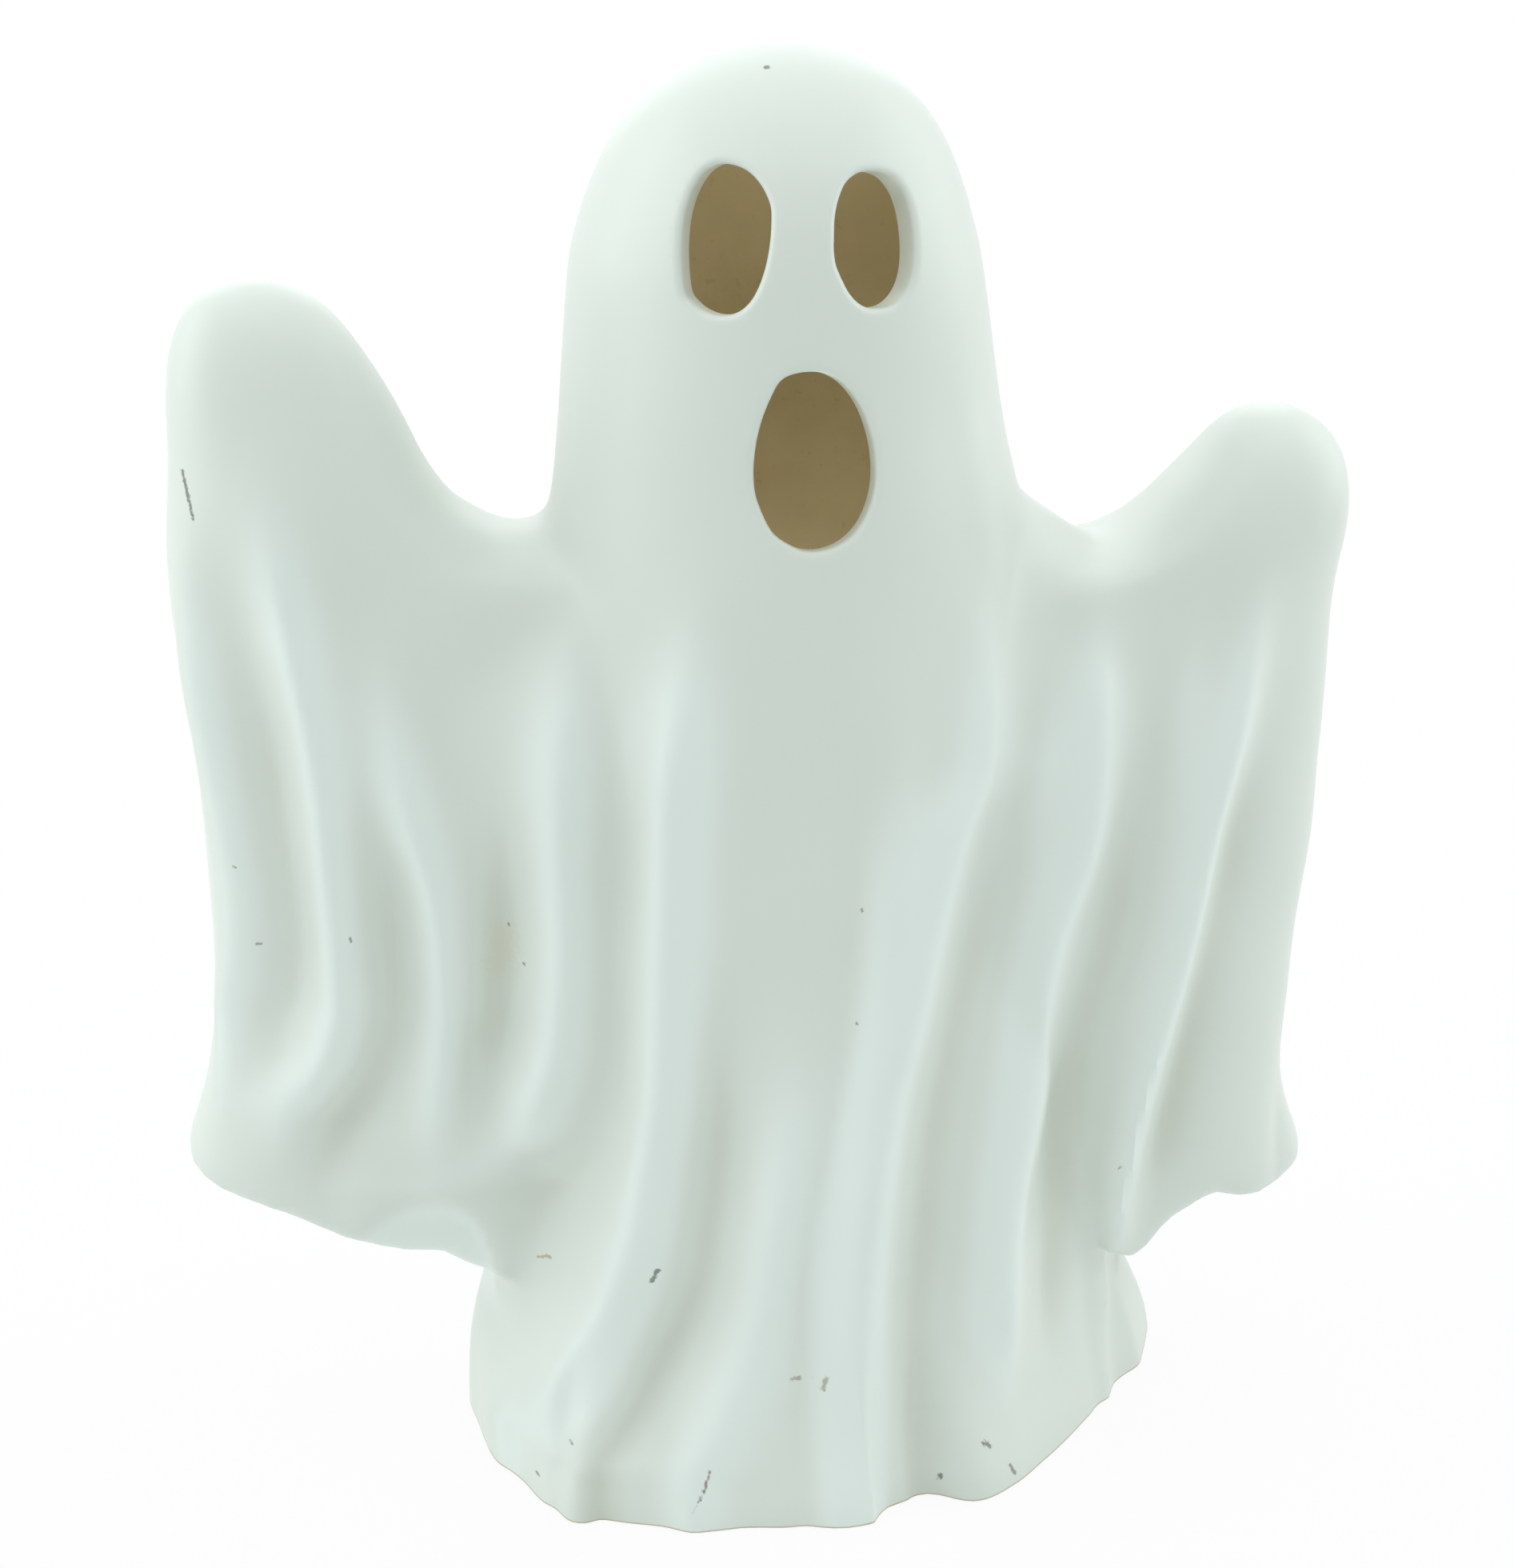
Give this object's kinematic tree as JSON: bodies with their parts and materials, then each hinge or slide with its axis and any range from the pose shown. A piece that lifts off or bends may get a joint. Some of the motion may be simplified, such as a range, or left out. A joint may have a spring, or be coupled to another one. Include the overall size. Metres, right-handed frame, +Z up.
{
  "type": "ceramic ghost light cover",
  "caption": "Hollow white ceramic ghost with raised sleeves, draped folds and cut-through eyes and mouth, open at the foot and standing over a battery tea light.",
  "frame": {"origin": "on the table, under the middle of the figure's box", "axes": "+Z up, the face looks along -Y, +X to the viewer's right"},
  "size_m": [0.2352, 0.1222, 0.281],
  "materials": {
    "white_glaze": "satin white glaze over slip-cast earthenware, bare tan clay inside",
    "cup_plastic": "ivory moulded plastic, fine matte",
    "flame_plastic": "milky amber translucent plastic",
    "lamp_resin": "clear amber resin with tinned legs",
    "plate_plastic": "ivory moulded plastic",
    "cell_steel": "plain nickel-plated steel can",
    "contact_brass": "thin spring strip",
    "switch_plastic": "black moulded plastic"
  },
  "bodies": {
    "light": {"candle_cup": "cup_plastic", "flame_lens": "flame_plastic", "led_lamp": "lamp_resin", "base_plate": "plate_plastic", "coin_cell": "cell_steel", "cell_contact": "contact_brass"},
    "shell": {"ghost_shell": "white_glaze"},
    "cover": {"battery_cover": "plate_plastic"},
    "switch": {"switch_slider": "switch_plastic", "switch_contact": "contact_brass"}
  },
  "joints": [
    {"name": "shell_lift", "type": "slide", "parent": "light", "child": "shell", "axis": [0, 0, 1], "range_m": [0, 0.06]},
    {"name": "cover_turn", "type": "hinge", "parent": "light", "child": "cover", "pos_m": [0.0087, 0, 0.0012], "axis": [0, 0, 1], "range_deg": [0, 35]},
    {"name": "switch_slide", "type": "slide", "parent": "light", "child": "switch", "axis": [0, 1, 0], "range_m": [0, 0.003]}
  ]
}
